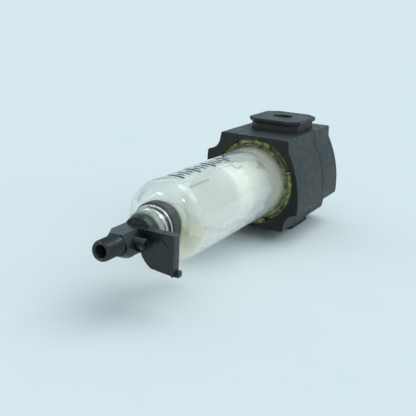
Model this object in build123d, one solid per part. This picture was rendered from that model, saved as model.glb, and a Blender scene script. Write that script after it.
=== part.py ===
from build123d import *
import os
from math import cos, radians, sin

# A compressed air filter lying on its lower port flange.
# +Z is the line through the two ports. The bowl lies along -X, with its drain at the far end.
# The origin is the centre of the lower port's mouth, on the surface that the filter stands on.
# "Station" is a distance along the bowl axis from the body's front face, positive into the body.
# All lengths are in millimetres and all angles in degrees.

# ---- driving dimensions ----
PORT_TO_PORT = 68.0
AXIS_Z = PORT_TO_PORT / 2
PORT_STATION = 41.75
BODY_LENGTH = 69.1
SPLIT_STATION = 42.05
HALF_HEIGHT = 27.3
NARROW_HALF = 21.7
BULGE_HALF = 30.0
EDGE_ROUNDS = (0.9, 5.0, 1.0, 0.6, 0.6, 0.9)
COVER_GAP = 0.5
COVER_WALL = 2.2
SPLIT_ROUND = 0.4
CASTING_WALL = 2.6

# ports and clamp flanges
FLANGE_X = 18.84
FLANGE_Y = 16.8
FLANGE_THICK = 2.8
FLANGE_CHAMFER = 6.0
NECK_X = 17.4
NECK_Y = 15.3
PORT_R = 6.15
INLET_DEPTH = 23.0
OUTLET_DEPTH = 31.0

# casting core and air passages
SOCKET_DEPTH = 14.6
END_WALL = 4.0
CORE_END = 66.4
CORE_HALF_Z = 24.8
OUTLET_BORE_R = 6.15
OUTLET_BORE_END = 50.0
GALLERY_R = 4.0
GALLERY_OFFSET = 17.0

# bowl and its bayonet
BOWL_R = 21.0
BOWL_BORE_R = 18.6
BOWL_END = -102.0
BOWL_END_WALL = 2.6
BOWL_END_ROUND = 8.0
MOUTH_R = 22.5
MOUTH_START = 1.5
MOUTH_END = 14.0
SEAL_BORE_R = 22.6
RECESS_R = 25.5
RECESS_DEPTH = 9.0
LUG_R = 25.2
LUG_START = 3.7
LUG_END = 7.4
LUG_SPAN = 42.0
LEDGE_START = 0.9
LEDGE_END = 3.4
LEDGE_R = 22.9
LEDGE_SPAN = 44.0
LEDGE_COUNT = 4
FIRST_LEDGE = 0.0
STOP_FROM = 16.8
STOP_TO = 23.2
O_RING_STATION = 10.8
O_RING_R = 21.70
O_RING_CORD_R = 0.84

# filter stack inside the bowl
ELEMENT_R = 13.2
ELEMENT_BORE_R = 9.0
ELEMENT_TOP = 1.2
ELEMENT_END = -38.9
LOUVER_R = 17.9
LOUVER_TOP = 14.0
VANE_TOP = 9.0
VANE_BASE = 3.2
VANE_COUNT = 12
VANE_THICK = 1.0
VANE_TILT = 38.0
RIM_FRONT = -3.2
RIB_COUNT = 36
SKIRT_R = 15.0
SKIRT_END = -4.5
TUBE_R = 9.0
BAFFLE_R = 17.0
BAFFLE_RIM = -35.0
BAFFLE_END = -50.5
BAFFLE_WALL = 1.3
TOOTH_COUNT = 26
TOOTH_DEPTH = 4.0
ROD_R = 2.0
ROD_END = 58.0

# drain
STEM_R = 4.5
STEM_BORE_R = 2.87
SEAT_BORE_R = 4.55
SEAT_SHANK_R = 6.95
SEAT_TIP = -87.5
SEAT_SHANK_END = -116.3
SEAT_FLANGE_R = 11.0
COLLAR_R = 12.0
COLLAR_END = -108.1
NUT_END = -112.6
WASHER_R = 9.6
DRAIN_PORT_STATION = -92.0
DRAIN_PORT_R = 1.2
THREAD_R = 4.86
THREAD_START = -138.2
NIPPLE_END = -149.2
HUB_START = -116.9
HUB_END = -137.4
HUB_SKIRT_R = 8.7
HUB_R = 7.9
HUB_NOSE_R = 5.7
HUB_FLAT = 4.6
WING_FRONT = -125.2
WING_BACK = -120.8
WING_TIP = 22.3
WING_DROP = 14.4
PIN_STATION = -130.4
PIN_R = 2.5
PIN_TIP = 10.5
O_RING_SEAT_R = 3.40
DRAIN_CORD_R = 0.54


# ---- helpers ----
def on_axis(shape):
    """Move a shape from station coordinates to the row frame."""
    return Pos(-PORT_STATION, 0, AXIS_Z) * shape


def corner(face, point):
    """The corner of a flat face that lies nearest to a point."""
    return face.vertices().sort_by_distance(Vector(*point))[0]


def lathe(points, rounds=()):
    """Turn a closed (station, radius) outline about the bowl axis, rounding some corners."""
    face = make_face(Polyline(*points, close=True))
    for point, radius in rounds:
        face = fillet([corner(face, point)], radius)
    return revolve(face, axis=Axis.X)


def tube(start, end, outer, inner):
    return lathe([(start, inner), (end, inner), (end, outer), (start, outer)])


def rod(start, end, radius):
    return lathe([(start, 0), (end, 0), (end, radius), (start, radius)])


def ring_sector(start, end, inner, outer, middle, span):
    """A piece of a tube, centred on one angle about the bowl axis."""
    wedge_reach = 3 * outer
    half = radians(span / 2)
    mid = radians(middle)
    tips = [mid - half, mid, mid + half]
    outline = [(0, 0)] + [(wedge_reach * cos(a), wedge_reach * sin(a)) for a in tips]
    wedge = extrude(Plane.YZ * make_face(Polyline(*outline, close=True)), end - start)
    return tube(start, end, outer, inner) & (Pos(start, 0, 0) * wedge)


def torus_ring(station, radius, cord_r):
    """An O-ring centred on the bowl axis."""
    section = Pos(station, radius) * Circle(cord_r)
    return revolve(section, axis=Axis.X)


def cross_hole(station, radius, reach, angle):
    """A drill that goes right across the bowl axis."""
    drill = Rot(X=angle) * Cylinder(radius, 2 * reach)
    return Pos(station, 0, 0) * drill


def flange_outline(half_x, half_y, chamfer_length):
    """A rectangle with its four corners cut off."""
    plate = Rectangle(2 * half_x, 2 * half_y)
    return chamfer(plate.vertices(), chamfer_length)


def body_outline():
    """The body's section: narrow at top and bottom, bulged on both sides, alike after half a turn."""
    half = [(-NARROW_HALF, HALF_HEIGHT), (-21.9, 20.8), (-BULGE_HALF, -15.8),
            (-26.2, -16.9), (-22.3, -23.0), (-NARROW_HALF, -HALF_HEIGHT)]
    bulge_middle = (-29.3, 0.0)
    hollow_middle = (-23.6, -19.6)
    edges = []
    for sign in (1, -1):
        p = [(sign * y, sign * z) for y, z in half]
        bulge = (sign * bulge_middle[0], sign * bulge_middle[1])
        hollow = (sign * hollow_middle[0], sign * hollow_middle[1])
        edges += [Line(p[0], p[1]), ThreePointArc(p[1], bulge, p[2]), Line(p[2], p[3])]
        edges += [ThreePointArc(p[3], hollow, p[4]), Line(p[4], p[5]), Line(p[5], (-p[0][0], -p[0][1]))]
    face = make_face(edges)
    for (y, z), radius in zip(half, EDGE_ROUNDS):
        for sign in (1, -1):
            face = fillet([corner(face, (sign * y, sign * z, 0))], radius)
    return face


def body_block(start, end, inset=0.0):
    """A slice of the body's section between two stations, drawn in by inset all round."""
    face = body_outline()
    if inset:
        face = offset(face, amount=-inset)
    return Pos(start, 0, 0) * extrude(Plane.YZ * face, end - start)


# ---- body ----
def port_column(side):
    """Neck and clamp flange on the upper (1) or lower (-1) side of the body."""
    neck = extrude(flange_outline(NECK_X, NECK_Y, FLANGE_CHAMFER - 0.6), AXIS_Z - FLANGE_THICK)
    plate = extrude(flange_outline(FLANGE_X, FLANGE_Y, FLANGE_CHAMFER), FLANGE_THICK)
    plate = chamfer(plate.faces().sort_by(Axis.Z)[0].edges(), 0.9)
    plate = fillet(plate.faces().sort_by(Axis.Z)[-1].edges(), 0.5)
    column = neck + Pos(0, 0, AXIS_Z - FLANGE_THICK) * plate
    turned = column if side > 0 else Rot(X=180) * column
    return Pos(PORT_STATION, 0, 0) * turned


def port_bore(side, depth):
    """Port hole, straight to its mouth."""
    return Pos(PORT_STATION, 0, side * (AXIS_Z - depth / 2)) * Cylinder(PORT_R, depth)


def bayonet_ledges():
    """Inward ledges at the recess mouth, each with a stop behind it."""
    ledges = []
    for i in range(LEDGE_COUNT):
        middle = FIRST_LEDGE + i * 360 / LEDGE_COUNT
        ledges.append(ring_sector(LEDGE_START, LEDGE_END, LEDGE_R, RECESS_R + 0.5, middle, LEDGE_SPAN))
        stop_middle = middle + (STOP_FROM + STOP_TO) / 2
        stop_span = STOP_TO - STOP_FROM
        ledges.append(ring_sector(LEDGE_START, RECESS_DEPTH, LEDGE_R, RECESS_R + 0.5, stop_middle, stop_span))
    return ledges


def make_body_casting():
    front = body_block(0, SPLIT_STATION)
    front = fillet(front.faces().sort_by(Axis.X)[0].edges(), 0.6)
    front = fillet(front.faces().sort_by(Axis.X)[-1].edges(), SPLIT_ROUND)
    pocket_start = SOCKET_DEPTH + END_WALL
    front -= body_block(pocket_start, SPLIT_STATION, CASTING_WALL)
    core_length = CORE_END - SOCKET_DEPTH
    core = Pos(SOCKET_DEPTH + core_length / 2, 0, 0) * Box(core_length, 2 * NECK_Y, 2 * CORE_HALF_Z)
    casting = front + core + port_column(1) + port_column(-1)
    casting -= rod(-1, RECESS_DEPTH, RECESS_R)
    casting -= rod(0, SOCKET_DEPTH, SEAL_BORE_R)
    for ledge in bayonet_ledges():
        casting += ledge
    casting -= rod(0, OUTLET_BORE_END, OUTLET_BORE_R)
    casting -= rod(0, ROD_END, ROD_R + 0.05)
    casting -= Pos(0, 0, GALLERY_OFFSET) * rod(0, PORT_STATION, GALLERY_R)
    casting -= port_bore(1, INLET_DEPTH)
    casting -= port_bore(-1, OUTLET_DEPTH)
    for place in cover_screw_places():
        casting -= place * rod(CORE_END - 11, CORE_END + 1, 1.75)
    return casting


def cover_screw_places():
    """The two screws that hold the rear cover, one above the other."""
    return [Pos(0, 0, side * 17.0) for side in (1, -1)]


def make_rear_cover():
    start = SPLIT_STATION + COVER_GAP
    outer = body_block(start, BODY_LENGTH)
    outer = fillet(outer.faces().sort_by(Axis.X)[-1].edges(), 0.9)
    outer = fillet(outer.faces().sort_by(Axis.X)[0].edges(), SPLIT_ROUND)
    cover = outer - body_block(start - 1, BODY_LENGTH - COVER_WALL - 0.2, COVER_WALL)
    gap = COVER_GAP
    neck_hole = extrude(flange_outline(NECK_X + gap, NECK_Y + gap, FLANGE_CHAMFER - 0.6), 80)
    cover -= Pos(PORT_STATION, 0, -40) * neck_hole
    back_wall_start = BODY_LENGTH - COVER_WALL - 0.2
    back_wall = body_block(back_wall_start, BODY_LENGTH - 1, COVER_WALL - 0.5)
    cover += back_wall
    for place in cover_screw_places():
        cover -= place * screw_body(0.1)
    return cover


def screw_body(grow):
    """A countersunk screw, drawn larger by grow to cut its own clearance."""
    head_end = BODY_LENGTH - 0.2 + grow
    head = [(CORE_END - 9 - grow, 0), (head_end, 0), (head_end, 3.4 + grow), (head_end - 0.5, 3.4 + grow),
            (head_end - 2.3, 1.7 + grow), (CORE_END - 9 - grow, 1.7 + grow)]
    return lathe(head)


def make_cover_screws():
    screws = []
    for place in cover_screw_places():
        slot = Pos(BODY_LENGTH, 0, 0) * Box(2.2, 0.9, 4.2)
        cross = Pos(BODY_LENGTH, 0, 0) * Box(2.2, 4.2, 0.9)
        screws.append(place * (screw_body(0) - slot - cross))
    return screws


# ---- filter stack ----
def make_louver():
    hub = tube(VANE_BASE - 1.2, LOUVER_TOP, TUBE_R, OUTLET_BORE_R)
    rim = tube(RIM_FRONT, VANE_TOP, LOUVER_R, LOUVER_R - 1.0)
    floor_disc = tube(VANE_BASE - 1.2, VANE_BASE, SKIRT_R, OUTLET_BORE_R)
    skirt = tube(SKIRT_END, VANE_BASE - 0.5, SKIRT_R, SKIRT_R - 1.2)
    louver = hub + rim + floor_disc + skirt
    inner = TUBE_R - 0.4
    outer = LOUVER_R - 0.5
    middle = (VANE_BASE + VANE_TOP) / 2
    blade = Pos(0, (inner + outer) / 2, 0) * Rot(Y=VANE_TILT) * Box(7.2, outer - inner, VANE_THICK)
    for i in range(VANE_COUNT):
        louver += Pos(middle, 0, 0) * Rot(X=i * 360 / VANE_COUNT) * blade
    rib_length = VANE_BASE - RIM_FRONT - 0.6
    rib = Pos(RIM_FRONT + 0.6 + rib_length / 2, (SKIRT_R + LOUVER_R - 1.0) / 2, 0)
    rib *= Box(rib_length, LOUVER_R - SKIRT_R, 0.8)
    for i in range(RIB_COUNT):
        louver += Rot(X=i * 360 / RIB_COUNT) * rib
    limit = tube(SKIRT_END, LOUVER_TOP, LOUVER_R, OUTLET_BORE_R)
    return louver & limit


def make_louver_gasket():
    return tube(LOUVER_TOP + 0.02, SOCKET_DEPTH - 0.02, TUBE_R + 1.5, OUTLET_BORE_R + 0.4)


def make_element():
    return tube(ELEMENT_END, ELEMENT_TOP, ELEMENT_R, ELEMENT_BORE_R)


def make_element_gasket(start, end):
    return tube(start, end, ELEMENT_R - 0.2, ELEMENT_BORE_R + 0.2)


def make_baffle():
    inner = BAFFLE_R - BAFFLE_WALL
    floor_in = BAFFLE_END + BAFFLE_WALL
    cup = lathe([(BAFFLE_RIM, BAFFLE_R), (BAFFLE_END, BAFFLE_R), (BAFFLE_END, 0), (floor_in, 0),
                 (floor_in, inner), (BAFFLE_RIM, inner)],
                [((BAFFLE_END, BAFFLE_R), 3.0), ((floor_in, inner), 1.7)])
    cup += tube(floor_in - 0.5, ELEMENT_END - 0.9, 11.6, 9.6)
    cup += rod(floor_in - 0.5, ELEMENT_END + 1.5, 4.2)
    cup -= rod(floor_in + 1.0, 0, ROD_R + 0.05)
    notch_end = BAFFLE_RIM - TOOTH_DEPTH
    outline = Polyline((BAFFLE_RIM + 0.1, -1.8), (BAFFLE_RIM + 0.1, 1.8), (notch_end, 0.4), (notch_end, -0.4),
                       close=True)
    notch = Pos(0, 0, inner - 1) * extrude(make_face(outline), 4)
    for i in range(TOOTH_COUNT):
        cup -= Rot(X=i * 360 / TOOTH_COUNT) * notch
    return cup


def make_tie_rod():
    start = BAFFLE_END + BAFFLE_WALL + 1.2
    rod_shape = rod(start, ROD_END - 0.2, ROD_R)
    return chamfer(rod_shape.edges(), 0.3)


# ---- bowl ----
def lug_middle(i):
    """A lug rests half way between two ledges, where the bowl can be drawn off."""
    return FIRST_LEDGE + (i - 0.5) * 360 / LEDGE_COUNT


def make_bowl():
    wall_in = BOWL_END + BOWL_END_WALL
    groove_half = O_RING_CORD_R + 0.45
    groove_r = O_RING_R - O_RING_CORD_R - 0.02
    groove_start = O_RING_STATION - groove_half
    groove_end = O_RING_STATION + groove_half
    hole_r = SEAT_SHANK_R + 0.15
    profile = [(BOWL_END, hole_r), (BOWL_END, BOWL_R), (MOUTH_START, BOWL_R), (MOUTH_START, MOUTH_R),
               (groove_start, MOUTH_R), (groove_start, groove_r), (groove_end, groove_r),
               (groove_end, MOUTH_R), (MOUTH_END, MOUTH_R), (MOUTH_END, BOWL_BORE_R),
               (wall_in, BOWL_BORE_R), (wall_in, hole_r)]
    inner_round = BOWL_END_ROUND - 1.6
    bowl = lathe(profile, [((BOWL_END, BOWL_R), BOWL_END_ROUND), ((wall_in, BOWL_BORE_R), inner_round)])
    for i in range(LEDGE_COUNT):
        bowl += ring_sector(LUG_START, LUG_END, MOUTH_R - 0.3, LUG_R, lug_middle(i), LUG_SPAN)
    return bowl


def make_bowl_o_ring():
    return torus_ring(O_RING_STATION, O_RING_R, O_RING_CORD_R)


# ---- drain, fixed in the bowl ----
def make_drain_seat():
    flange_out = BOWL_END + BOWL_END_WALL + 0.85
    flange_in = flange_out + 2.6
    seat = lathe([(SEAT_SHANK_END, SEAT_BORE_R), (SEAT_SHANK_END, SEAT_SHANK_R), (flange_out, SEAT_SHANK_R),
                  (flange_out, SEAT_FLANGE_R), (flange_in, SEAT_FLANGE_R), (flange_in, SEAT_SHANK_R),
                  (SEAT_TIP, SEAT_SHANK_R), (SEAT_TIP, SEAT_BORE_R)],
                 [((flange_in, SEAT_FLANGE_R), 0.8), ((SEAT_TIP, SEAT_SHANK_R), 0.6)])
    return seat - cross_hole(DRAIN_PORT_STATION, DRAIN_PORT_R, 10, 0)


def make_seat_washer():
    start = BOWL_END + BOWL_END_WALL + 0.02
    return tube(start, start + 0.8, SEAT_FLANGE_R - 0.4, SEAT_SHANK_R + 0.1)


def make_drain_collar():
    bore = SEAT_SHANK_R + 0.1
    start = BOWL_END - 0.05
    return lathe([(start, bore), (start, COLLAR_R), (COLLAR_END, COLLAR_R), (COLLAR_END, bore)],
                 [((COLLAR_END, COLLAR_R), 1.6), ((start, COLLAR_R), 1.2)])


def make_drain_nut():
    bore = SEAT_SHANK_R + 0.05
    start = COLLAR_END - 0.05
    points = [(start, bore), (start, 11.2), (-109.5, 11.2), (-109.5, 9.4), (-110.5, 9.4), (-110.5, 10.2),
              (NUT_END, 10.2), (NUT_END, bore)]
    return lathe(points, [((start, 11.2), 0.4), ((-109.5, 11.2), 0.5), ((-110.5, 10.2), 0.4),
                          ((NUT_END, 10.2), 0.7)])


def make_drain_washer():
    start = NUT_END - 0.05
    return lathe([(start, SEAT_SHANK_R + 0.1), (start, WASHER_R), (-116.4, WASHER_R),
                  (-116.4, SEAT_SHANK_R + 0.1)], [((-116.4, WASHER_R), 0.9)])


# ---- drain, turning parts ----
def stem_groove(station, floor_r, half_width):
    return tube(station - half_width, station + half_width, STEM_R + 0.5, floor_r)


def seal_stations():
    return [DRAIN_PORT_STATION + 2.6, DRAIN_PORT_STATION - 2.8]


def make_drain_stem():
    inner_end = SEAT_TIP + 2.4
    stem = rod(HUB_END - 0.05, inner_end, STEM_R)
    stem += rod(THREAD_START, HUB_END, STEM_R - 0.2)
    nipple = [(NIPPLE_END, 0), (THREAD_START, 0), (THREAD_START, THREAD_R), (NIPPLE_END + 0.5, THREAD_R),
              (NIPPLE_END, STEM_R)]
    stem += lathe(nipple)
    stem -= rod(NIPPLE_END - 1, DRAIN_PORT_STATION + 1.0, STEM_BORE_R)
    stem -= cross_hole(DRAIN_PORT_STATION, DRAIN_PORT_R, 10, 90)
    for station in seal_stations():
        stem -= stem_groove(station, O_RING_SEAT_R, 0.75)
    stem -= stem_groove(SEAT_TIP + 1.0, STEM_R - 0.7, 0.4)
    stem -= Pos(PIN_STATION, -(STEM_R - 0.6), 0) * Rot(X=90) * Cylinder(PIN_R + 0.05, 3)
    return stem


def make_drain_o_rings():
    return [torus_ring(s, O_RING_SEAT_R + DRAIN_CORD_R + 0.02, DRAIN_CORD_R) for s in seal_stations()]


def make_stem_clip():
    clip = tube(SEAT_TIP + 0.65, SEAT_TIP + 1.35, 6.4, STEM_R - 0.65)
    gap = Pos(SEAT_TIP + 1, 0, -6) * Box(2, 3.2, 8)
    return clip - gap


def wing_outline():
    """The thumb wing seen along the bowl axis: square above, a hollow curve below the hub."""
    tip = -WING_TIP
    heel = (-10.2, -13.0)
    root = (-4.2, -5.6)
    top = Polyline(root, (0, -5.6), (0, HUB_FLAT), (tip, HUB_FLAT), (tip, -WING_DROP), heel)
    curve = ThreePointArc(heel, (-6.6, -10.0), root)
    return make_face([*top.edges(), curve])


def hub_side_cut():
    """The hub's near side, cut away to two flats beside the pin."""
    far = -12.0
    low = -3.1
    outline = [(-2.8, HUB_FLAT), (-7.3, low), (far, low), (far, HUB_FLAT + 1), (-2.8, HUB_FLAT + 1)]
    length = WING_FRONT - HUB_END + 1
    return Pos(HUB_END - 1, 0, 0) * extrude(Plane.YZ * make_face(Polyline(*outline, close=True)), length)


def make_drain_lever():
    hub = lathe([(HUB_START, 0), (HUB_START, HUB_SKIRT_R), (-118.8, HUB_SKIRT_R), (-121.0, HUB_R),
                 (-132.5, HUB_R), (HUB_END, HUB_NOSE_R), (HUB_END, 0)])
    flat_length = WING_BACK - HUB_END + 1
    flat_middle = (WING_BACK + HUB_END - 1) / 2
    hub -= Pos(flat_middle, 0, HUB_FLAT + 5) * Box(flat_length, 20, 10)
    hub -= hub_side_cut()
    wing = Pos(WING_FRONT, 0, 0) * extrude(Plane.YZ * wing_outline(), WING_BACK - WING_FRONT)
    wing = fillet(wing.edges().filter_by(Axis.Z).sort_by(Axis.Y)[:2], 0.8)
    wing -= Pos(WING_FRONT, -17.3, 0.1) * Rot(X=34) * Box(0.8, 5.0, 0.55)
    lip = Pos(WING_FRONT - 0.3, -WING_TIP + 0.6, (HUB_FLAT - WING_DROP) / 2)
    wing += lip * fillet(Box(1.4, 1.2, HUB_FLAT + WING_DROP).edges(), 0.25)
    foot = Pos(WING_BACK - 1.7, -WING_TIP - 0.2, -WING_DROP + 0.9) * Box(3.4, 3.2, 3.2)
    lever = hub + wing + fillet(foot.edges(), 0.9)
    lever -= rod(HUB_START + 1, HUB_END - 1, STEM_R + 0.02)
    lever -= Pos(PIN_STATION, -6.5, 0) * Rot(X=90) * Cylinder(PIN_R + 0.02, 9)
    return lever


def make_lever_pin():
    start = STEM_R - 2.0
    length = PIN_TIP - start
    pin = Cylinder(PIN_R, length)
    pin = chamfer(pin.edges(), 0.25)
    pin -= Pos(0, 0, length / 2) * Cylinder(PIN_R * 0.45, 2.4)
    placed = Pos(PIN_STATION, -(start + PIN_TIP) / 2, 0) * Rot(X=90) * pin
    return placed - rod(PIN_STATION - 3, PIN_STATION + 3, STEM_BORE_R + 0.05)


# ---- all the pieces ----
NODES = {
    "body_casting": make_body_casting,
    "rear_cover": make_rear_cover,
    "cover_screws": make_cover_screws,
    "louver": make_louver,
    "louver_gasket": make_louver_gasket,
    "filter_element": make_element,
    "element_gasket_upper": lambda: make_element_gasket(ELEMENT_TOP + 0.02, VANE_BASE - 1.22),
    "element_gasket_lower": lambda: make_element_gasket(ELEMENT_END - 0.85, ELEMENT_END - 0.02),
    "baffle": make_baffle,
    "tie_rod": make_tie_rod,
    "bowl_o_ring": make_bowl_o_ring,
    "bowl": make_bowl,
    "drain_seat": make_drain_seat,
    "seat_washer": make_seat_washer,
    "drain_collar": make_drain_collar,
    "drain_nut": make_drain_nut,
    "drain_washer": make_drain_washer,
    "drain_stem": make_drain_stem,
    "drain_o_rings": make_drain_o_rings,
    "stem_clip": make_stem_clip,
    "drain_lever": make_drain_lever,
    "lever_pin": make_lever_pin,
}


def solids_of(shape):
    """The separate solids of one piece, whether it is one shape or a list."""
    shapes = shape if isinstance(shape, list) else [shape]
    return [solid for one in shapes for solid in one.solids()]


def main():
    os.makedirs("parts", exist_ok=True)
    for name, build in NODES.items():
        solids = [on_axis(solid) for solid in solids_of(build())]
        node = Compound(children=solids) if len(solids) > 1 else solids[0]
        node.label = name
        export_step(node, f"parts/{name}.step")


main()
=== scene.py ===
"""Looks of a compressed air filter that lies on its lower port flange, with its clear bowl along -X.

"Station" is a distance along the bowl axis from the body's front face, positive into the body.
Stations and radii are in millimetres. Angles go round the bowl axis from +Y towards +Z, so 90 is the top
of the bowl and 180 is the side at -Y. Everything that reaches Blender is in metres.
"""
import math

import bpy
from mathutils import Matrix, Vector, noise


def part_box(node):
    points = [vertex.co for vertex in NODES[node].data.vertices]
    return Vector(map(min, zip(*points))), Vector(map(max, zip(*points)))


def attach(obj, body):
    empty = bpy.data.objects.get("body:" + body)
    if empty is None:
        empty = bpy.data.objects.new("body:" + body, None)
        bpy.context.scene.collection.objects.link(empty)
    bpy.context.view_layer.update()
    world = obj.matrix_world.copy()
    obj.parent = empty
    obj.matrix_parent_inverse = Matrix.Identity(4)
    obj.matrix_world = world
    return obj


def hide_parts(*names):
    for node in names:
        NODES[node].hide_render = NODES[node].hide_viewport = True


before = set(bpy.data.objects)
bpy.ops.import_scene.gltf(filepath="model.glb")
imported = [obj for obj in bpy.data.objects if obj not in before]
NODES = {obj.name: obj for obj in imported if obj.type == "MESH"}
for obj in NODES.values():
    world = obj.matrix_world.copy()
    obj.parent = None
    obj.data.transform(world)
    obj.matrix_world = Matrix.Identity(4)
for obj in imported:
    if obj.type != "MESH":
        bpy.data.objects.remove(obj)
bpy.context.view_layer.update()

MM = 0.001
FRONT_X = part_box("body_casting")[0].x
AXIS_Z = (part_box("bowl_o_ring")[0].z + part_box("bowl_o_ring")[1].z) / 2


def station_of(x):
    return (x - FRONT_X) / MM


def near_end(node):
    """The station of a node's end that faces the drain."""
    return station_of(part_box(node)[0].x)


def far_end(node):
    """The station of a node's end that faces the body."""
    return station_of(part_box(node)[1].x)


# ---- mesh helpers ----
def place(station, radius, angle):
    """A point given in cylinder coordinates about the bowl axis."""
    turn = math.radians(angle)
    across, up = radius * math.cos(turn), radius * math.sin(turn)
    return Vector((FRONT_X + station * MM, across * MM, AXIS_Z + up * MM))


def smoothstep(low, high, value):
    t = min(max((value - low) / (high - low), 0.0), 1.0)
    return t * t * (3 - 2 * t)


def window(low, high, value, edge):
    """1 between low and high, easing to 0 over edge outside them."""
    return smoothstep(low - edge, low, value) * (1 - smoothstep(high, high + edge, value))


def rounded(points, steps=6):
    """A (station, radius) outline with arcs at its corners. Points are (station, radius, corner radius)."""
    outline = []
    count = len(points)
    for i, (s, r, bend) in enumerate(points):
        here = Vector((s, r))
        if bend <= 0:
            outline.append(here)
            continue
        before = (Vector(points[i - 1][:2]) - here).normalized()
        after = (Vector(points[(i + 1) % count][:2]) - here).normalized()
        half = before.angle(after) / 2
        start = here + before * bend / math.tan(half)
        middle = here + (before + after).normalized() * bend / math.sin(half)
        sweep = math.pi - 2 * half
        spin = start - middle
        side = 1 if before.x * after.y - before.y * after.x > 0 else -1
        for k in range(steps + 1):
            a = -side * sweep * k / steps
            outline.append(middle + Vector((spin.x * math.cos(a) - spin.y * math.sin(a),
                                            spin.x * math.sin(a) + spin.y * math.cos(a))))
    return [(p.x, p.y) for p in outline]


def dense(profile, step):
    """The same closed outline with extra points, so that no side is longer than step."""
    result = []
    for i, (s, r) in enumerate(profile):
        s2, r2 = profile[(i + 1) % len(profile)]
        parts = max(1, math.ceil(math.hypot(s2 - s, r2 - r) / step))
        for k in range(parts):
            result.append((s + (s2 - s) * k / parts, r + (r2 - r) * k / parts))
    return result


def finish_mesh(name, verts, faces, sharp=35):
    mesh = bpy.data.meshes.new(name)
    mesh.from_pydata(verts, [], faces)
    mesh.validate()
    mesh.polygons.foreach_set("use_smooth", [True] * len(mesh.polygons))
    mesh.set_sharp_from_angle(angle=math.radians(sharp))
    mesh.update()
    obj = bpy.data.objects.new(name, mesh)
    bpy.context.scene.collection.objects.link(obj)
    return obj


def turned(name, profile, segments=160, shape=None, sharp=35):
    """Turns a closed outline about the bowl axis. shape(s, r, angle) may move each point."""
    verts, faces = [], []
    rows = len(profile)
    for j in range(segments):
        angle = 360 * j / segments
        for s, r in profile:
            verts.append(place(*(shape(s, r, angle) if shape else (s, r)), angle))
    for j in range(segments):
        for i in range(rows):
            a, b = j * rows, (j + 1) % segments * rows
            k = (i + 1) % rows
            faces.append((a + i, a + k, b + k, b + i))
    obj = finish_mesh(name, verts, faces, sharp)
    face_outwards(obj)
    return obj


def face_outwards(obj):
    """Turns the normals so that the closed mesh has a positive volume."""
    mesh = obj.data
    volume = 0.0
    for p in mesh.polygons:
        a, b, c = (mesh.vertices[i].co for i in p.vertices[:3])
        volume += a.dot(b.cross(c))
        if len(p.vertices) == 4:
            volume += a.dot(c.cross(mesh.vertices[p.vertices[3]].co))
    if volume < 0:
        mesh.flip_normals()


def shells(name, parts, sharp=35):
    """One object from several (verts, faces) lists."""
    verts, faces = [], []
    for v, f in parts:
        base = len(verts)
        verts += v
        faces += [tuple(base + i for i in face) for face in f]
    return finish_mesh(name, verts, faces, sharp)


def grid_rim(rows, columns):
    """The indices round the edge of a grid of points, in order."""
    rim = [j for j in range(columns)] + [i * columns + columns - 1 for i in range(1, rows)]
    rim += [(rows - 1) * columns + j for j in range(columns - 2, -1, -1)]
    return rim + [i * columns for i in range(rows - 2, 0, -1)]


def plate(stations, angles, inner, outer):
    """A closed curved plate between two radii. inner(s, a) and outer(s, a) give the radii."""
    verts, faces = [], []
    rows, columns = len(stations), len(angles)
    for radius in (outer, inner):
        for s in stations:
            for a in angles:
                verts.append(place(s, radius(s, a), a))
    under = rows * columns
    for i in range(rows - 1):
        for j in range(columns - 1):
            a = i * columns + j
            b = a + columns
            faces.append((a, b, b + 1, a + 1))
            faces.append((under + a, under + a + 1, under + b + 1, under + b))
    rim = grid_rim(rows, columns)
    for k, a in enumerate(rim):
        b = rim[(k + 1) % len(rim)]
        faces.append((a, b, under + b, under + a))
    return verts, faces


def spaced(start, end, parts):
    return [start + (end - start) * k / parts for k in range(parts + 1)]


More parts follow.
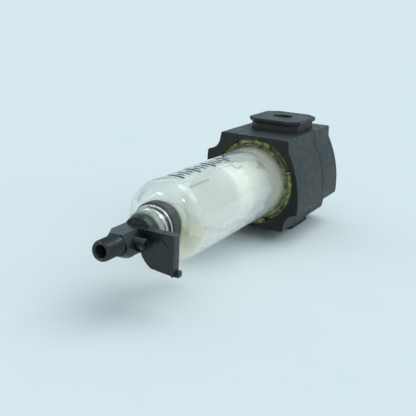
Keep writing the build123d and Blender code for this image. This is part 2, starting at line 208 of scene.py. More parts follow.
# ---- material helpers ----
class Surface:
    """A Principled material and short calls for the nodes that feed it."""

    def __init__(self, name):
        self.material = bpy.data.materials.new(name)
        self.material.use_nodes = True
        self.tree = self.material.node_tree
        self.tree.nodes.clear()
        output = self.tree.nodes.new("ShaderNodeOutputMaterial")
        self.shader = self.tree.nodes.new("ShaderNodeBsdfPrincipled")
        self.link(self.shader.outputs[0], output.inputs["Surface"])
        self.where = self.tree.nodes.new("ShaderNodeTexCoord").outputs["Object"]

    def link(self, source, target):
        self.tree.links.new(source, target)

    def set(self, **values):
        for name, value in values.items():
            socket = self.shader.inputs[name.replace("_", " ")]
            if isinstance(value, bpy.types.NodeSocket):
                self.link(value, socket)
            else:
                socket.default_value = value

    def noise(self, size, detail=4.0, roughness=0.55, stretch=None, distortion=0.0):
        """Cloud noise whose features are about size millimetres wide."""
        node = self.tree.nodes.new("ShaderNodeTexNoise")
        node.inputs["Scale"].default_value = 1 / (size * MM)
        node.inputs["Detail"].default_value = detail
        node.inputs["Roughness"].default_value = roughness
        node.inputs["Distortion"].default_value = distortion
        self.link(self.stretched(stretch), node.inputs["Vector"])
        return node.outputs["Fac"]

    def stretched(self, stretch):
        if not stretch:
            return self.where
        node = self.tree.nodes.new("ShaderNodeMapping")
        node.inputs["Scale"].default_value = stretch
        self.link(self.where, node.inputs["Vector"])
        return node.outputs[0]

    def math(self, operation, a, b=0.0, clamp=False):
        node = self.tree.nodes.new("ShaderNodeMath")
        node.operation = operation
        node.use_clamp = clamp
        for value, socket in zip((a, b), node.inputs):
            if isinstance(value, bpy.types.NodeSocket):
                self.link(value, socket)
            else:
                socket.default_value = value
        return node.outputs[0]

    def ramp(self, value, *stops):
        """A colour ramp. Each stop is (position, colour or grey level)."""
        node = self.tree.nodes.new("ShaderNodeValToRGB")
        elements = node.color_ramp.elements
        while len(elements) < len(stops):
            elements.new(0.5)
        for element, (position, tone) in zip(elements, stops):
            element.position = position
            element.color = (*tone, 1) if isinstance(tone, tuple) else (tone, tone, tone, 1)
        self.link(value, node.inputs[0])
        return node.outputs[0]

    def band(self, value, low, high):
        """0 below low and 1 above high, in the value's own units."""
        node = self.tree.nodes.new("ShaderNodeMapRange")
        node.inputs["From Min"].default_value = low
        node.inputs["From Max"].default_value = high
        self.link(value, node.inputs["Value"])
        return node.outputs[0]

    def mix(self, share, a, b, blend="MIX"):
        node = self.tree.nodes.new("ShaderNodeMix")
        node.data_type = "RGBA"
        node.blend_type = blend
        for value, socket in ((share, node.inputs[0]), (a, node.inputs[6]), (b, node.inputs[7])):
            if isinstance(value, bpy.types.NodeSocket):
                self.link(value, socket)
            elif isinstance(value, tuple):
                socket.default_value = (*value, 1)
            else:
                socket.default_value = value
        return node.outputs[2]

    def axis(self, which):
        """One of the object's own coordinates, 0 to 2 for X to Z, in metres."""
        node = self.tree.nodes.new("ShaderNodeSeparateXYZ")
        self.link(self.where, node.inputs[0])
        return node.outputs[which]

    def radius(self):
        """The distance from the bowl axis, in metres."""
        shift = self.tree.nodes.new("ShaderNodeVectorMath")
        shift.operation = "MULTIPLY_ADD"
        shift.inputs[1].default_value = (0, 1, 1)
        shift.inputs[2].default_value = (0, 0, -AXIS_Z)
        self.link(self.where, shift.inputs[0])
        length = self.tree.nodes.new("ShaderNodeVectorMath")
        length.operation = "LENGTH"
        self.link(shift.outputs[0], length.inputs[0])
        return length.outputs["Value"]

    def edges(self, width):
        """1 on sharp edges, falling to 0 at width millimetres from them."""
        bevel = self.tree.nodes.new("ShaderNodeBevel")
        bevel.samples = 6
        bevel.inputs["Radius"].default_value = width * MM
        flat = self.tree.nodes.new("ShaderNodeNewGeometry")
        dot = self.tree.nodes.new("ShaderNodeVectorMath")
        dot.operation = "DOT_PRODUCT"
        self.link(bevel.outputs[0], dot.inputs[0])
        self.link(flat.outputs["Normal"], dot.inputs[1])
        return self.band(dot.outputs["Value"], 0.99, 0.86)

    def bump(self, height, depth, strength=1.0, below=None):
        """Relief of depth millimetres between height 0 and 1."""
        node = self.tree.nodes.new("ShaderNodeBump")
        node.inputs["Distance"].default_value = depth * MM
        node.inputs["Strength"].default_value = strength
        self.link(height, node.inputs["Height"])
        if below:
            self.link(below, node.inputs["Normal"])
        return node.outputs[0]


def charcoal(name, base, worn, grain=0.35, rough=(0.36, 0.6), sharp_edges=0.5, stain=None, gloss=0.32):
    """Dark moulded or painted surface with dust, handling marks and lighter edges, partly worn and partly a
    painted highlight.
    """
    m = Surface(name)
    patches = m.noise(14, 5, 0.6)
    fine = m.noise(0.7, 3)
    tone = m.ramp(patches, (0.3, tuple(c * 0.75 for c in base)), (0.55, base),
                  (0.75, tuple(c * 1.5 for c in base)))
    tone = m.mix(m.math("MULTIPLY", m.band(fine, 0.5, 0.9), 0.35), tone, tuple(c * 2.4 for c in base))
    dust = m.math("MULTIPLY", m.band(m.noise(3.0, 8, 0.7), 0.58, 0.75), 0.5)
    tone = m.mix(dust, tone, tuple(0.5 * (a + b) for a, b in zip(base, worn)))
    # Lighter edges: partly paint worn off them, partly a painted highlight along them.
    edge_wear_and_highlight = m.math("MULTIPLY", m.edges(sharp_edges), m.band(m.noise(2.4, 4), 0.36, 0.62))
    tone = m.mix(m.math("MULTIPLY", edge_wear_and_highlight, 0.75), tone, worn)
    # For the casting, the stain call also paints shade: it darkens the front face.
    if stain:
        tone = stain(m, tone)
    m.set(Base_Color=tone, Roughness=m.ramp(m.noise(5, 6, 0.65), (0.3, rough[0]), (0.75, rough[1])),
          Specular_IOR_Level=gloss)
    relief = m.bump(m.noise(grain, 2, 0.6), 0.03, 0.6)
    relief = m.bump(m.noise(9, 3), 0.12, 0.5, relief)
    m.set(Normal=relief)
    return m.material


def casting_stains_and_shade(m, tone):
    """Yellow-green grease inside the bowl socket, painted shade that darkens the front face nearly to black,
    and a brown bloom round the port necks."""
    inside = m.math("SUBTRACT", 1.0, m.band(m.radius(), 25.3 * MM, 25.9 * MM))
    front = m.math("SUBTRACT", 1.0, m.band(m.axis(0), FRONT_X + 15 * MM, FRONT_X + 16 * MM))
    inside = m.math("MULTIPLY", inside, front)
    grease = m.ramp(m.noise(2.6, 6, 0.65, distortion=0.8), (0.32, (0.03, 0.032, 0.014)),
                    (0.42, (0.16, 0.17, 0.05)), (0.55, (0.34, 0.37, 0.15)), (0.7, (0.55, 0.58, 0.36)))
    tone = m.mix(inside, tone, grease)
    # Painted shade: the front face looks away from the light and is darkened nearly to black.
    face = m.math("SUBTRACT", 1.0, m.band(m.axis(0), FRONT_X + 0.2 * MM, FRONT_X + 0.9 * MM))
    tone = m.mix(m.math("MULTIPLY", face, 0.75), tone, (0.0055, 0.0068, 0.0066))
    height = m.math("ABSOLUTE", m.math("SUBTRACT", m.axis(2), AXIS_Z))
    neck = m.math("MULTIPLY", m.band(height, 27.4 * MM, 27.9 * MM),
                  m.math("SUBTRACT", 1.0, m.band(height, 31.0 * MM, 31.6 * MM)))
    neck = m.math("MULTIPLY", neck, m.band(m.noise(5, 4), 0.3, 0.62))
    return m.mix(m.math("MULTIPLY", neck, 0.8), tone, (0.05, 0.04, 0.028))


def clear_plastic(name):
    """Polycarbonate with haze and fine scuffs: a yellow film at the drain end, an olive one at the mouth."""
    m = Surface(name)
    low = m.math("SUBTRACT", AXIS_Z, m.axis(2))
    under = m.band(low, -8 * MM, 14 * MM)
    end = m.math("SUBTRACT", 1.0, m.band(m.axis(0), FRONT_X - 99 * MM, FRONT_X - 84 * MM))
    film = m.math("MULTIPLY", m.math("MULTIPLY", end, m.band(low, -4 * MM, 14 * MM)), 0.7)
    film = m.math("MULTIPLY", film, m.band(m.noise(7, 5, 0.6, distortion=0.5), 0.3, 0.7))
    tone = m.mix(film, (0.985, 1.0, 0.975), (0.93, 0.93, 0.66))
    haze = m.band(m.noise(11, 6, 0.62), 0.42, 0.8)
    scuffs = m.band(m.noise(0.9, 4, 0.7, stretch=(0.25, 1, 1)), 0.62, 0.85)
    dull = m.math("ADD", m.math("MULTIPLY", haze, 0.12), m.math("MULTIPLY", scuffs, 0.2), clamp=True)
    clear = m.math("SUBTRACT", 0.9, m.math("MULTIPLY", dull, 0.5))
    # Painted light: the lower side is made less clear and so paler, brighter than the shade below the bowl
    # would leave it.
    clear = m.math("SUBTRACT", clear, m.math("MULTIPLY", under, 0.32))
    mouth = m.math("MULTIPLY", m.band(m.axis(0), FRONT_X - 17 * MM, FRONT_X - 4 * MM),
                   m.band(m.noise(6, 5, 0.6), 0.1, 0.55))
    sludge = m.mix(m.band(low, -2 * MM, 11 * MM), (0.44, 0.47, 0.33), (0.26, 0.27, 0.06))
    sludge = m.mix(m.band(m.radius(), 21.6 * MM, 22.2 * MM), sludge, (0.13, 0.135, 0.03))
    tone = m.mix(m.math("MULTIPLY", mouth, 0.8), tone, sludge)
    clear = m.math("SUBTRACT", clear, m.math("MULTIPLY", mouth, 0.38))
    m.set(Base_Color=tone, Roughness=m.math("ADD", dull, 0.03), Transmission_Weight=clear, IOR=1.5)
    m.set(Normal=m.bump(m.noise(6, 3), 0.05, 0.35, m.bump(scuffs, 0.01, 0.4)))
    return m.material


def frosted(name, light, dark, size, depth, rough=0.75, subsurface=0.0, shaded_span=None):
    """Porous or moulded pale plastic with mottling and speckle. The last argument gives the two stations
    between which painted shade turns it yellow-grey towards the body, which shades it."""
    m = Surface(name)
    tone = m.ramp(m.noise(size * 9, 5, 0.6), (0.3, dark), (0.7, light))
    specks = m.band(m.noise(size * 2.5, 2), 0.7, 0.8)
    tone = m.mix(m.math("MULTIPLY", specks, 0.35), tone, tuple(c * 0.6 for c in dark))
    if shaded_span:
        # Painted shade: mottled yellow-grey darkening towards the body, where the body shades the part.
        painted_shade = m.band(m.axis(0), FRONT_X + shaded_span[0] * MM, FRONT_X + shaded_span[1] * MM)
        painted_shade = m.math("MULTIPLY", painted_shade, m.band(m.noise(6, 5, 0.6), -0.1, 0.5))
        tone = m.mix(painted_shade, tone, (0.28, 0.3, 0.2))
    m.set(Base_Color=tone, Roughness=m.ramp(m.noise(size * 4), (0.3, rough - 0.12), (0.7, rough)))
    m.set(Normal=m.bump(m.noise(size, 3, 0.7), depth, 0.8))
    if subsurface:
        m.set(Subsurface_Weight=subsurface, Subsurface_Radius=(1.0, 1.0, 0.8), Subsurface_Scale=0.004)
    return m.material


def aged_nylon(name):
    """Pale nylon, stained yellow where oil stands on its low side."""
    m = Surface(name)
    low = m.math("SUBTRACT", AXIS_Z, m.axis(2))
    stain = m.math("ADD", m.band(low, -5 * MM, 5 * MM), m.math("MULTIPLY", m.noise(6, 4), 0.3), clamp=True)
    tone = m.mix(stain, (0.72, 0.78, 0.76), (0.93, 0.92, 0.6))
    clear = m.math("SUBTRACT", 0.5, m.math("MULTIPLY", stain, 0.4))
    m.set(Base_Color=tone, Transmission_Weight=clear, IOR=1.35)
    m.set(Roughness=m.ramp(m.noise(3), (0.3, 0.32), (0.7, 0.5)))
    m.set(Normal=m.bump(m.noise(0.8, 3, 0.6), 0.02, 0.6))
    return m.material


def bright_metal(name, base, rough, rust):
    """Plated or bare steel with smudges, turning marks and a few rust specks."""
    m = Surface(name)
    smudge = m.noise(4, 6, 0.65)
    tone = m.ramp(smudge, (0.3, tuple(c * 0.62 for c in base)), (0.6, base))
    specks = m.math("MULTIPLY", m.band(m.noise(1.6, 5, 0.7), 0.62, 0.7), rust)
    tone = m.mix(specks, tone, (0.12, 0.05, 0.02))
    m.set(Base_Color=tone, Metallic=m.math("SUBTRACT", 1.0, specks))
    m.set(Roughness=m.ramp(smudge, (0.25, rough + 0.22), (0.7, rough)))
    m.set(Normal=m.bump(m.noise(0.5, 2, stretch=(3, 0.15, 0.15)), 0.01, 0.4))
    return m.material


def soft_rubber(name, base, rough=(0.3, 0.5)):
    m = Surface(name)
    tone = m.ramp(m.noise(3, 6, 0.7), (0.3, base), (0.72, tuple(c * 2.6 + 0.01 for c in base)))
    m.set(Base_Color=tone, Roughness=m.ramp(m.noise(2, 5), (0.3, rough[0]), (0.7, rough[1])))
    m.set(Normal=m.bump(m.noise(0.4, 3), 0.02, 0.5))
    return m.material


def grease_material(name):
    """Old yellow-green grease: glossy, partly see-through lumps with dark dirt in them."""
    m = Surface(name)
    tone = m.ramp(m.noise(3.2, 6, 0.65, distortion=0.6), (0.3, (0.014, 0.014, 0.006)),
                  (0.43, (0.09, 0.09, 0.02)), (0.54, (0.36, 0.37, 0.08)), (0.7, (0.72, 0.73, 0.32)))
    m.set(Base_Color=tone, Transmission_Weight=0.35, IOR=1.46)
    m.set(Roughness=m.ramp(m.noise(1.5, 4), (0.3, 0.16), (0.7, 0.42)))
    m.set(Normal=m.bump(m.noise(0.8, 4, 0.6), 0.15, 0.7))
    return m.material


def oil_material(name, thick, thin, clarity):
    """Oil or sludge: thick is its colour where it has gathered, thin where it has run out."""
    m = Surface(name)
    tone = m.ramp(m.noise(5, 5, 0.6), (0.3, thick), (0.7, thin))
    m.set(Base_Color=tone, Transmission_Weight=clarity, IOR=1.3)
    m.set(Roughness=m.ramp(m.noise(3, 4), (0.3, 0.25), (0.7, 0.45)))
    m.set(Normal=m.bump(m.noise(4, 3), 0.06, 0.4))
    return m.material


def ink_material(name, tone, worn):
    """Printed ink, rubbed thin in places."""
    m = Surface(name)
    rub = m.band(m.noise(1.8, 6, 0.7), 0.48, 0.66)
    m.set(Base_Color=m.mix(rub, tone, worn), Roughness=m.ramp(rub, (0.0, 0.7), (1.0, 0.9)))
    m.set(Specular_IOR_Level=0.1)
    m.set(Normal=m.bump(m.noise(0.5, 3), 0.01, 0.5))
    return m.material


CHARCOAL = (0.014, 0.0215, 0.0225)
WORN_AND_HIGHLIGHT = (0.105, 0.14, 0.148)
casting = charcoal("casting_paint", CHARCOAL, WORN_AND_HIGHLIGHT, stain=casting_stains_and_shade)
cover = charcoal("cover_plastic", CHARCOAL, WORN_AND_HIGHLIGHT, grain=0.3)
drain_black = charcoal("drain_plastic", (0.0075, 0.0125, 0.0135), (0.08, 0.11, 0.115), grain=0.25,
                       rough=(0.16, 0.42), sharp_edges=0.35, gloss=0.5)
clear = clear_plastic("clear_polycarbonate")
sintered = frosted("sintered_element", (0.7, 0.73, 0.64), (0.62, 0.66, 0.55), 0.35, 0.05, 0.9, subsurface=0.6,
                   shaded_span=(-34, -4))
white_nylon = frosted("baffle_nylon", (0.81, 0.84, 0.74), (0.74, 0.77, 0.67), 0.5, 0.02, 0.5, subsurface=1.0)
louver_white = frosted("louver_plastic", (0.66, 0.69, 0.56), (0.5, 0.53, 0.4), 0.6, 0.03, 0.5, subsurface=0.4,
                       shaded_span=(-30, -2))
seat_amber = aged_nylon("seat_nylon")
washer_cream = frosted("washer_plastic", (0.42, 0.45, 0.38), (0.2, 0.225, 0.19), 0.4, 0.03, 0.35)
chrome = bright_metal("chrome_plate", (0.58, 0.6, 0.59), 0.14, rust=1.0)
steel = bright_metal("zinc_steel", (0.55, 0.55, 0.52), 0.25, rust=0.5)
collar_black = soft_rubber("collar_rubber", (0.02, 0.024, 0.025))
mould_flash = soft_rubber("mould_flash", (0.006, 0.008, 0.008), (0.5, 0.7))
black_rubber = soft_rubber("seal_rubber", (0.012, 0.012, 0.012))
grease = grease_material("old_grease")
oil = oil_material("oil_film", (0.94, 0.92, 0.58), (0.98, 0.97, 0.78), 0.5)
ink = ink_material("scale_ink", (0.025, 0.03, 0.034), (0.16, 0.18, 0.19))

FINISH = {
    "body_casting": casting, "rear_cover": cover, "cover_screws": steel, "louver": louver_white,
    "louver_gasket": black_rubber, "filter_element": sintered, "element_gasket_upper": black_rubber,
    "element_gasket_lower": black_rubber, "baffle": white_nylon, "tie_rod": steel,
    "bowl_o_ring": black_rubber, "drain_seat": seat_amber, "seat_washer": black_rubber,
    "drain_collar": collar_black, "drain_nut": chrome, "drain_washer": washer_cream,
    "drain_o_rings": black_rubber, "stem_clip": steel, "drain_lever": drain_black,
    "lever_pin": drain_black, "bowl": clear, "drain_stem": drain_black,
}


def dress(obj, material):
    obj.data.materials.clear()
    obj.data.materials.append(material)
    return obj


for node_name, finish in FINISH.items():
    dress(NODES[node_name], finish)


# ---- clear bowl ----
BOWL_R = 21.0
BOWL_BORE = 18.6
MOUTH_R = 22.5
LUG_R = 25.2
LUG_HALF = 21.0
BOWL_END = near_end("bowl")
BOWL_MOUTH = far_end("bowl")
END_WALL = 2.6
SEAT_HOLE = 7.1


def bowl_relief(s, r, angle):
    """Four lugs, a raised line along the wall and a small tab near its upper end."""
    if r > MOUTH_R + 0.05:
        nearest = min(abs((angle - 45 - 90 * k + 180) % 360 - 180) for k in range(4))
        lug = 1 - smoothstep(LUG_HALF - 1.2, LUG_HALF - 0.2, nearest)
        r = MOUTH_R + (r - MOUTH_R) * lug
    elif abs(r - BOWL_R) < 0.01:
        side = window(-97, -43, s, 0.4) * window(109.6, 110.4, angle, 0.8)
        end = window(-97.2, -96.8, s, 0.35) * window(72, 110.4, angle, 0.8)
        r += 0.14 * max(side, end)
        r += 0.3 * window(-43.5, -37.5, s, 1.4) * window(113.5, 120, angle, 3.0)
    return s, r


def make_bowl():
    groove = ((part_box("bowl_o_ring")[0].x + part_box("bowl_o_ring")[1].x) / 2 - FRONT_X) / MM
    floor = BOWL_END + END_WALL
    outline = [
        (BOWL_MOUTH, BOWL_BORE, 0.4), (BOWL_MOUTH, MOUTH_R, 0.5), (groove + 1.29, MOUTH_R, 0.15),
        (groove + 1.29, 20.84, 0.15), (groove - 1.29, 20.84, 0.15), (groove - 1.29, MOUTH_R, 0.15),
        (7.45, MOUTH_R, 0), (7.4, LUG_R, 0.5), (3.7, LUG_R, 0.5), (3.65, MOUTH_R, 0),
        (1.5, MOUTH_R, 0.3), (1.5, BOWL_R, 0.3), (BOWL_END, BOWL_R, 8.0), (BOWL_END, SEAT_HOLE, 0.15),
        (floor, SEAT_HOLE, 0.15), (floor, BOWL_BORE, 6.4),
    ]
    profile = dense(rounded(outline, 10), 0.7)
    return turned("bowl_clear", profile, 400, bowl_relief, sharp=50)


bowl = dress(make_bowl(), clear)
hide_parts("bowl")
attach(bowl, "bowl")
bowl.visible_shadow = False


# ---- printed scale, where the real bowl carries its marking ----
def make_scale():
    """A plain level scale: bars of three lengths, then a row of short ticks below the frame line."""
    def low(s, a):
        return BOWL_R + 0.005

    def high(s, a):
        return BOWL_R + 0.06

    marks = []
    for k in range(14):
        s = -89.5 + 4.0 * k
        start, end = ((78, 103), (86, 97), (82, 100), (86, 97))[k % 4]
        width = 2.1 if k % 4 == 0 else 1.5
        marks.append(plate(spaced(s, s + width, 2), spaced(start, end, 12), low, high))
    for k in range(9):
        s = -93 + 2.1 * k
        reach = 4.5 if k % 4 == 0 else 2.5
        marks.append(plate(spaced(s, s + 0.5, 1), spaced(119, 119 + reach, 3), low, high))
    return shells("level_scale", marks)


scale = dress(make_scale(), ink)
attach(scale, "bowl")


# ---- grease, oil and mould lines ----
def lumps(s, angle, size, seed):
    """Smooth noise on the bowl's wall, about -1 to 1."""
    turn = math.radians(angle)
    p = Vector((s, 22 * math.cos(turn), 22 * math.sin(turn))) / size
    return noise.noise(p + Vector((seed, 0, 0))) + 0.5 * noise.noise(2.1 * p + Vector((0, seed, 0)))


def make_bowl_grease():
    """A lumpy bead squeezed out round the bowl where it enters the body."""
    outline = dense(rounded([(-0.9, 21.03, 0.3), (-0.2, 21.9, 0.4), (1.0, 22.3, 0.4), (1.42, 22.3, 0.1),
                             (1.42, 21.03, 0.1)], 4), 0.4)

    def bead(s, r, angle):
        swell = 0.5 + 0.5 * lumps(s, angle, 3.5, 3)
        if r > 21.1:
            r = 21.1 + (r - 21.1) * (0.25 + 0.95 * min(max(swell, 0), 1))
        if s < 1.2:
            s += 0.9 * (1 - swell) * (1 - smoothstep(21.0, 22.2, r))
        return min(s, 1.44), r

    return turned("bowl_grease", outline, 300, bead, sharp=80)


def face_grease(name, first, station, inner, outer, thickness):
    """Smears on four flat faces that look along -X, at every quarter turn from the angle first."""
    parts = []
    for k in range(4):
        middle = first + 90 * k
        angles = spaced(middle - 20, middle + 20, 44)
        radii = spaced(inner, outer, 8)
        verts, faces = [], []
        for side in (0, 1):
            for r in radii:
                for a in angles:
                    edge = window(middle - 17, middle + 17, a, 3) * window(inner + 0.3, outer - 0.3, r, 0.3)
                    thick = thickness * (0.45 + 0.55 * lumps(r, a, 2.2, 9 + k))
                    s = station - side * max(0.04, thick * edge)
                    verts.append(place(s, r, a))
        columns, rows = len(angles), len(radii)
        under = rows * columns
        for i in range(rows - 1):
            for j in range(columns - 1):
                a = i * columns + j
                b = a + columns
                faces.append((a, a + 1, b + 1, b))
                faces.append((under + a, under + b, under + b + 1, under + a + 1))
        rim = grid_rim(rows, columns)
        for n, a in enumerate(rim):
            b = rim[(n + 1) % len(rim)]
            faces.append((b, a, under + a, under + b))
        parts.append((verts, faces))
    return shells(name, parts, sharp=80)


def blob(station, angle, half_length, half_angle, surface, thick, seed, ragged=0.35):
    """A closed smear with a ragged rim on a surface of revolution. surface(s) is its radius, and a
    positive thick stands out from it."""
    rings, spokes = 10, 72
    verts, faces = [], []
    for side in (1, 0):
        for i in range(1, rings + 1):
            share = i / rings
            for j in range(spokes):
                turn = 2 * math.pi * j / spokes
                rim = 1 + ragged * (lumps(20 * math.cos(turn), 57 * math.sin(turn), 11, seed))
                s = station + half_length * rim * share * math.cos(turn)
                a = angle + half_angle * rim * share * math.sin(turn)
                height = 0.08 + (1 - share ** 3) * (0.6 + 0.4 * lumps(s, a, 3.5, seed + 1))
                verts.append(place(s, surface(s) + thick * (0.03 + side * max(height, 0.05)), a))
        verts.append(place(station, surface(station) + thick * (0.03 + side), angle))
    layer = rings * spokes + 1
    for side in (0, 1):
        base = side * layer
        for j in range(spokes):
            k = (j + 1) % spokes
            tip = (base + layer - 1, base + j, base + k)
            faces.append(tip if side == 0 else tip[::-1])
            for i in range(rings - 1):
                quad = (base + i * spokes + j, base + (i + 1) * spokes + j,
                        base + (i + 1) * spokes + k, base + i * spokes + k)
                faces.append(quad if side == 0 else quad[::-1])
    for j in range(spokes):
        k = (j + 1) % spokes
        top = (rings - 1) * spokes
        faces.append((top + j, layer + top + j, layer + top + k, top + k))
    return verts, faces


def bowl_bore(s):
    """The bowl's inner radius, drawn in by the round at its end."""
    bend = 6.4
    start = BOWL_END + END_WALL + bend
    if s >= start:
        return BOWL_BORE
    return BOWL_BORE - bend + math.sqrt(max(bend ** 2 - (start - s) ** 2, 0))


def make_oil():
    """Thin yellow oil on the inside of the bowl, low down at the drain end."""
    parts = [blob(-97.5, 194, 3.4, 24, bowl_bore, -0.25, 5, 0.2),
             blob(-86.5, 203, 4.5, 9, bowl_bore, -0.2, 6),
             blob(-90.0, 245, 6.0, 24, bowl_bore, -0.25, 7)]
    return shells("oil_film", parts, sharp=80)


# the split between casting and cover, and half the width over the bulged sides
SPLIT = 42.05
BULGE = 29.3


def make_mould_lines():
    """The thin flash line along both bulged sides, at the height of the bowl axis."""
    parts = []
    for side in (1, -1):
        for start, end in ((1.0, SPLIT - 0.6), (SPLIT + 1.1, far_end("rear_cover") - 1.2)):
            verts, faces = [], []
            section = ((-0.3, -0.1), (-0.12, 0.13), (0.12, 0.13), (0.3, -0.1))
            count = 40
            for s in spaced(start, end, count):
                for rise, out in section:
                    verts.append(Vector((FRONT_X + s * MM, side * (BULGE + out) * MM, AXIS_Z + rise * MM)))
            for i in range(count):
                for k in range(4):
                    a, b = 4 * i + k, 4 * i + (k + 1) % 4
                    quad = (a, b, b + 4, a + 4)
                    faces.append(quad if side > 0 else quad[::-1])
            last = 4 * count
            caps = [(3, 2, 1, 0), (last, last + 1, last + 2, last + 3)]
            faces += caps if side > 0 else [c[::-1] for c in caps]
            parts.append((verts, faces))
    return shells("mould_lines", parts, sharp=30)


bowl_grease = dress(make_bowl_grease(), grease)
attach(bowl_grease, "bowl")
ledge_grease = dress(face_grease("ledge_grease", 0, 0.93, 23.0, 25.3, 0.8), grease)
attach(ledge_grease, "body")
lug_grease = dress(face_grease("lug_grease", 45, 3.64, 22.8, 24.9, 0.16), grease)
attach(lug_grease, "bowl")
oil_film = dress(make_oil(), oil)
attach(oil_film, "bowl")
mould_lines = dress(make_mould_lines(), mould_flash)
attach(mould_lines, "body")


# ---- threads ----
PIPE_PITCH = 1.337
PORT_PITCH = 1.337


def wave(phase):
    """A rounded thread form, 0 at the root and 1 at the crest."""
    return 0.5 + 0.5 * math.sin(2 * math.pi * phase)


def make_stem():
    """Drain stem with its clip groove, two seal grooves and the outlet's thread."""
    tip = far_end("drain_stem")
    mouth = near_end("drain_stem")
    thread_end = -138.2
    seal = [(near_end("drain_o_rings") + 0.54), (far_end("drain_o_rings") - 0.54)]
    outline = [(tip, 1.0, 0), (tip, 4.5, 0.3)]
    clip = (near_end("stem_clip") + far_end("stem_clip")) / 2
    for middle, half, floor in ((clip, 0.4, 3.8), (seal[1], 0.75, 3.4), (seal[0], 0.75, 3.4)):
        outline += [(middle + half, 4.5, 0), (middle + half, floor, 0), (middle - half, floor, 0),
                    (middle - half, 4.5, 0)]
    outline += [(-137.5, 4.5, 0), (-137.5, 4.3, 0), (thread_end, 4.3, 0)]
    steps = 150
    threads = [(thread_end + (mouth + 0.3 - thread_end) * k / steps, 4.86) for k in range(steps + 1)]
    bore = [(mouth, 4.4), (mouth, 3.2), (mouth + 0.35, 2.87), (-93.0, 2.87), (-91.0, 1.0)]
    profile = rounded(outline, 4) + threads + bore

    def cut(s, r, angle):
        if r > 4.8 and s < thread_end:
            depth = 0.56 * window(mouth + 0.9, thread_end - 0.6, s, 0.7)
            chamfer = 0.35 * (1 - smoothstep(mouth, mouth + 0.9, s))
            r -= depth * (1 - wave(s / PIPE_PITCH + angle / 360)) + chamfer
        return s, r

    return turned("stem_threaded", profile, 120, cut, sharp=60)


def make_port_thread(name, top):
    """A thread inside a port, on the line x = 0, y = 0: a thin sleeve with a ridged bore. top is the height of
    the port's mouth."""
    outer_r, crest, length = 6.13, 5.62, 12.0
    inward = -1 if top > AXIS_Z else 1
    rows, segments = 130, 96
    verts, faces = [], []
    ring = []
    for k in range(rows + 1):
        depth = 0.9 + (length - 0.9) * k / rows
        ring.append((depth, True))
    ring += [(length, False), (0.9, False)]
    for j in range(segments):
        turn = 2 * math.pi * j / segments
        for depth, ridged in ring:
            r = outer_r
            if ridged:
                size = window(2.0, length - 1.5, depth, 1.0)
                r -= 0.03 + (outer_r - crest) * size * wave(depth / PORT_PITCH - inward * j / segments)
            height = top + inward * depth * MM
            verts.append(Vector((r * MM * math.cos(turn), r * MM * math.sin(turn), height)))
    count = len(ring)
    for j in range(segments):
        for i in range(count):
            a, b = j * count, (j + 1) % segments * count
            k = (i + 1) % count
            faces.append((a + i, a + k, b + k, b + i))
    obj = finish_mesh(name, verts, faces, 60)
    face_outwards(obj)
    return obj


stem = dress(make_stem(), drain_black)
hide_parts("drain_stem")
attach(stem, "drain")
PORT_MOUTHS = {"upper_port_thread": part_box("body_casting")[1].z, "lower_port_thread": 0.0}
for thread_name, mouth_height in PORT_MOUTHS.items():
    thread = dress(make_port_thread(thread_name, mouth_height), casting)
    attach(thread, "body")


# ---- stage ----
def make_floor():
    size = 400.0
    corners = [(-size, -size, 0), (size, -size, 0), (size, size, 0), (-size, size, 0)]
    floor = finish_mesh("floor", [Vector(c) for c in corners], [(0, 1, 2, 3)])
    m = Surface("floor_paper")
    tone = m.ramp(m.noise(60, 4, 0.6), (0.3, (0.715, 0.772, 0.785)), (0.7, (0.74, 0.787, 0.797)))
    m.set(Base_Color=tone, Roughness=0.85, Specular_IOR_Level=0.2)
    dress(floor, m.material)


def add_cluster(name, position, target, power):
    """Seven small lamps in a flower, only seen in glossy reflections: they put the sparks on the bowl."""
    aim = (Vector(target) - Vector(position)).to_track_quat("-Z", "Y")
    for k in range(7):
        light = bpy.data.lights.new(f"{name}_{k}", "AREA")
        light.shape = "DISK"
        light.size = 0.03
        light.energy = power
        obj = bpy.data.objects.new(light.name, light)
        bpy.context.scene.collection.objects.link(obj)
        reach = 0.0 if k == 6 else 0.055
        petal = Vector((reach * math.cos(math.pi * k / 3), reach * math.sin(math.pi * k / 3), 0))
        obj.location = Vector(position) + aim @ petal
        obj.rotation_euler = aim.to_euler()
        obj.visible_camera = False
        obj.visible_diffuse = False
        obj.visible_transmission = False


def add_sun(name, direction, strength, spread, colour):
    """A soft distant light. direction is where it shines from."""
    light = bpy.data.lights.new(name, "SUN")
    light.energy = strength
    light.angle = math.radians(spread)
    light.color = colour
    obj = bpy.data.objects.new(name, light)
    bpy.context.scene.collection.objects.link(obj)
    obj.rotation_euler = Vector(direction).to_track_quat("Z", "Y").to_euler()


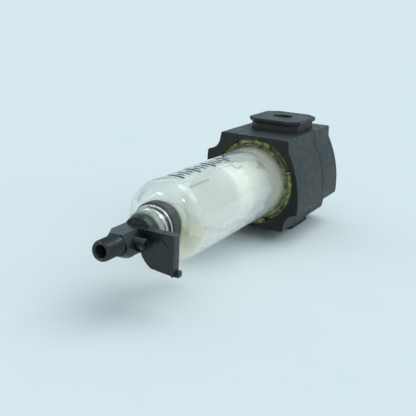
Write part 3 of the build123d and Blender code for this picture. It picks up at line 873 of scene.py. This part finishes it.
def make_lights():
    add_sun("key", (0.45, -0.35, 1.0), 1.05, 50, (1.0, 0.99, 0.97))
    add_sun("side", (0.1, -1.0, 0.6), 0.4, 60, (0.97, 0.99, 1.0))
    add_sun("fill", (-1.0, -0.35, 0.8), 0.14, 70, (0.97, 0.99, 1.0))
    add_cluster("near_lamp", (-0.75, -0.23, 0.53), (-0.14, 0, 0.04), 0.12)
    add_cluster("far_lamp", (-0.80, 0.43, 0.17), (-0.14, 0, 0.04), 0.12)
    world = bpy.data.worlds.new("studio")
    world.use_nodes = True
    nodes, links = world.node_tree.nodes, world.node_tree.links
    back = nodes["Background"]
    back.inputs["Color"].default_value = (0.66, 0.82, 0.88, 1)
    towards = nodes.new("ShaderNodeVectorMath")
    towards.operation = "DOT_PRODUCT"
    towards.inputs[1].default_value = (0.6, -0.2, 0.77)
    links.new(nodes.new("ShaderNodeTexCoord").outputs["Generated"], towards.inputs[0])
    level = nodes.new("ShaderNodeMapRange")
    level.inputs["From Min"].default_value = -0.6
    level.inputs["From Max"].default_value = 0.9
    level.inputs["To Min"].default_value = 0.42
    level.inputs["To Max"].default_value = 0.95
    links.new(towards.outputs["Value"], level.inputs["Value"])
    links.new(level.outputs[0], back.inputs["Strength"])
    bpy.context.scene.world = world


def make_camera():
    azimuth, elevation, roll = (math.radians(v) for v in (-62.46, 16.39, 2.87))
    right = Vector((math.cos(azimuth), math.sin(azimuth), 0))
    back = Vector((math.sin(azimuth) * math.cos(elevation), -math.cos(azimuth) * math.cos(elevation),
                   math.sin(elevation)))
    up = back.cross(right)
    tilted_right = right * math.cos(roll) + up * math.sin(roll)
    tilted_up = up * math.cos(roll) - right * math.sin(roll)
    camera = bpy.data.objects.new("camera", bpy.data.cameras.new("camera"))
    camera.data.lens = 64.19
    camera.data.sensor_width = 36.0
    camera.data.clip_start = 0.01
    turn = Matrix((tilted_right, tilted_up, back)).transposed().to_4x4()
    camera.matrix_world = Matrix.Translation((-0.4306, -0.17489, 0.14175)) @ turn
    bpy.context.scene.collection.objects.link(camera)
    bpy.context.scene.camera = camera


make_floor()
make_lights()
make_camera()
bpy.context.scene.view_settings.view_transform = "Standard"
